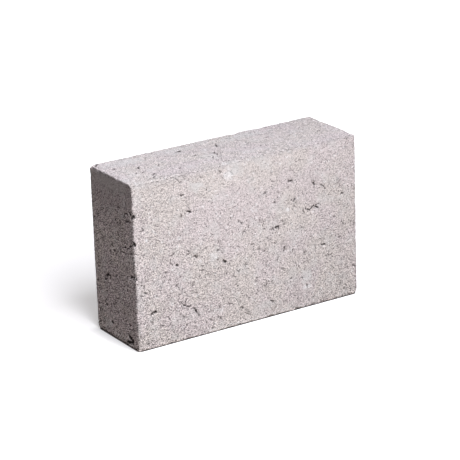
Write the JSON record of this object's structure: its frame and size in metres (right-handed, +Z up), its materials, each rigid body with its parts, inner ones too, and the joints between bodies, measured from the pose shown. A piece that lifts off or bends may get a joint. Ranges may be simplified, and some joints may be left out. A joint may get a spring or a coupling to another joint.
{
  "type": "concrete ballast block",
  "caption": "Solid rectangular block of dense cast concrete with an open texture, worn arrises and small voids, used as ballast or walling.",
  "frame": {"origin": "centre of the base, on the floor that the block stands on", "axes": "+X along the length from the pictured left end to the right, -Y out of the large front face, +Z up"},
  "size_m": [0.29, 0.09, 0.19],
  "materials": {
    "concrete": "matte"
  },
  "bodies": {
    "root": {"ballast_block": "concrete"}
  },
  "joints": []
}
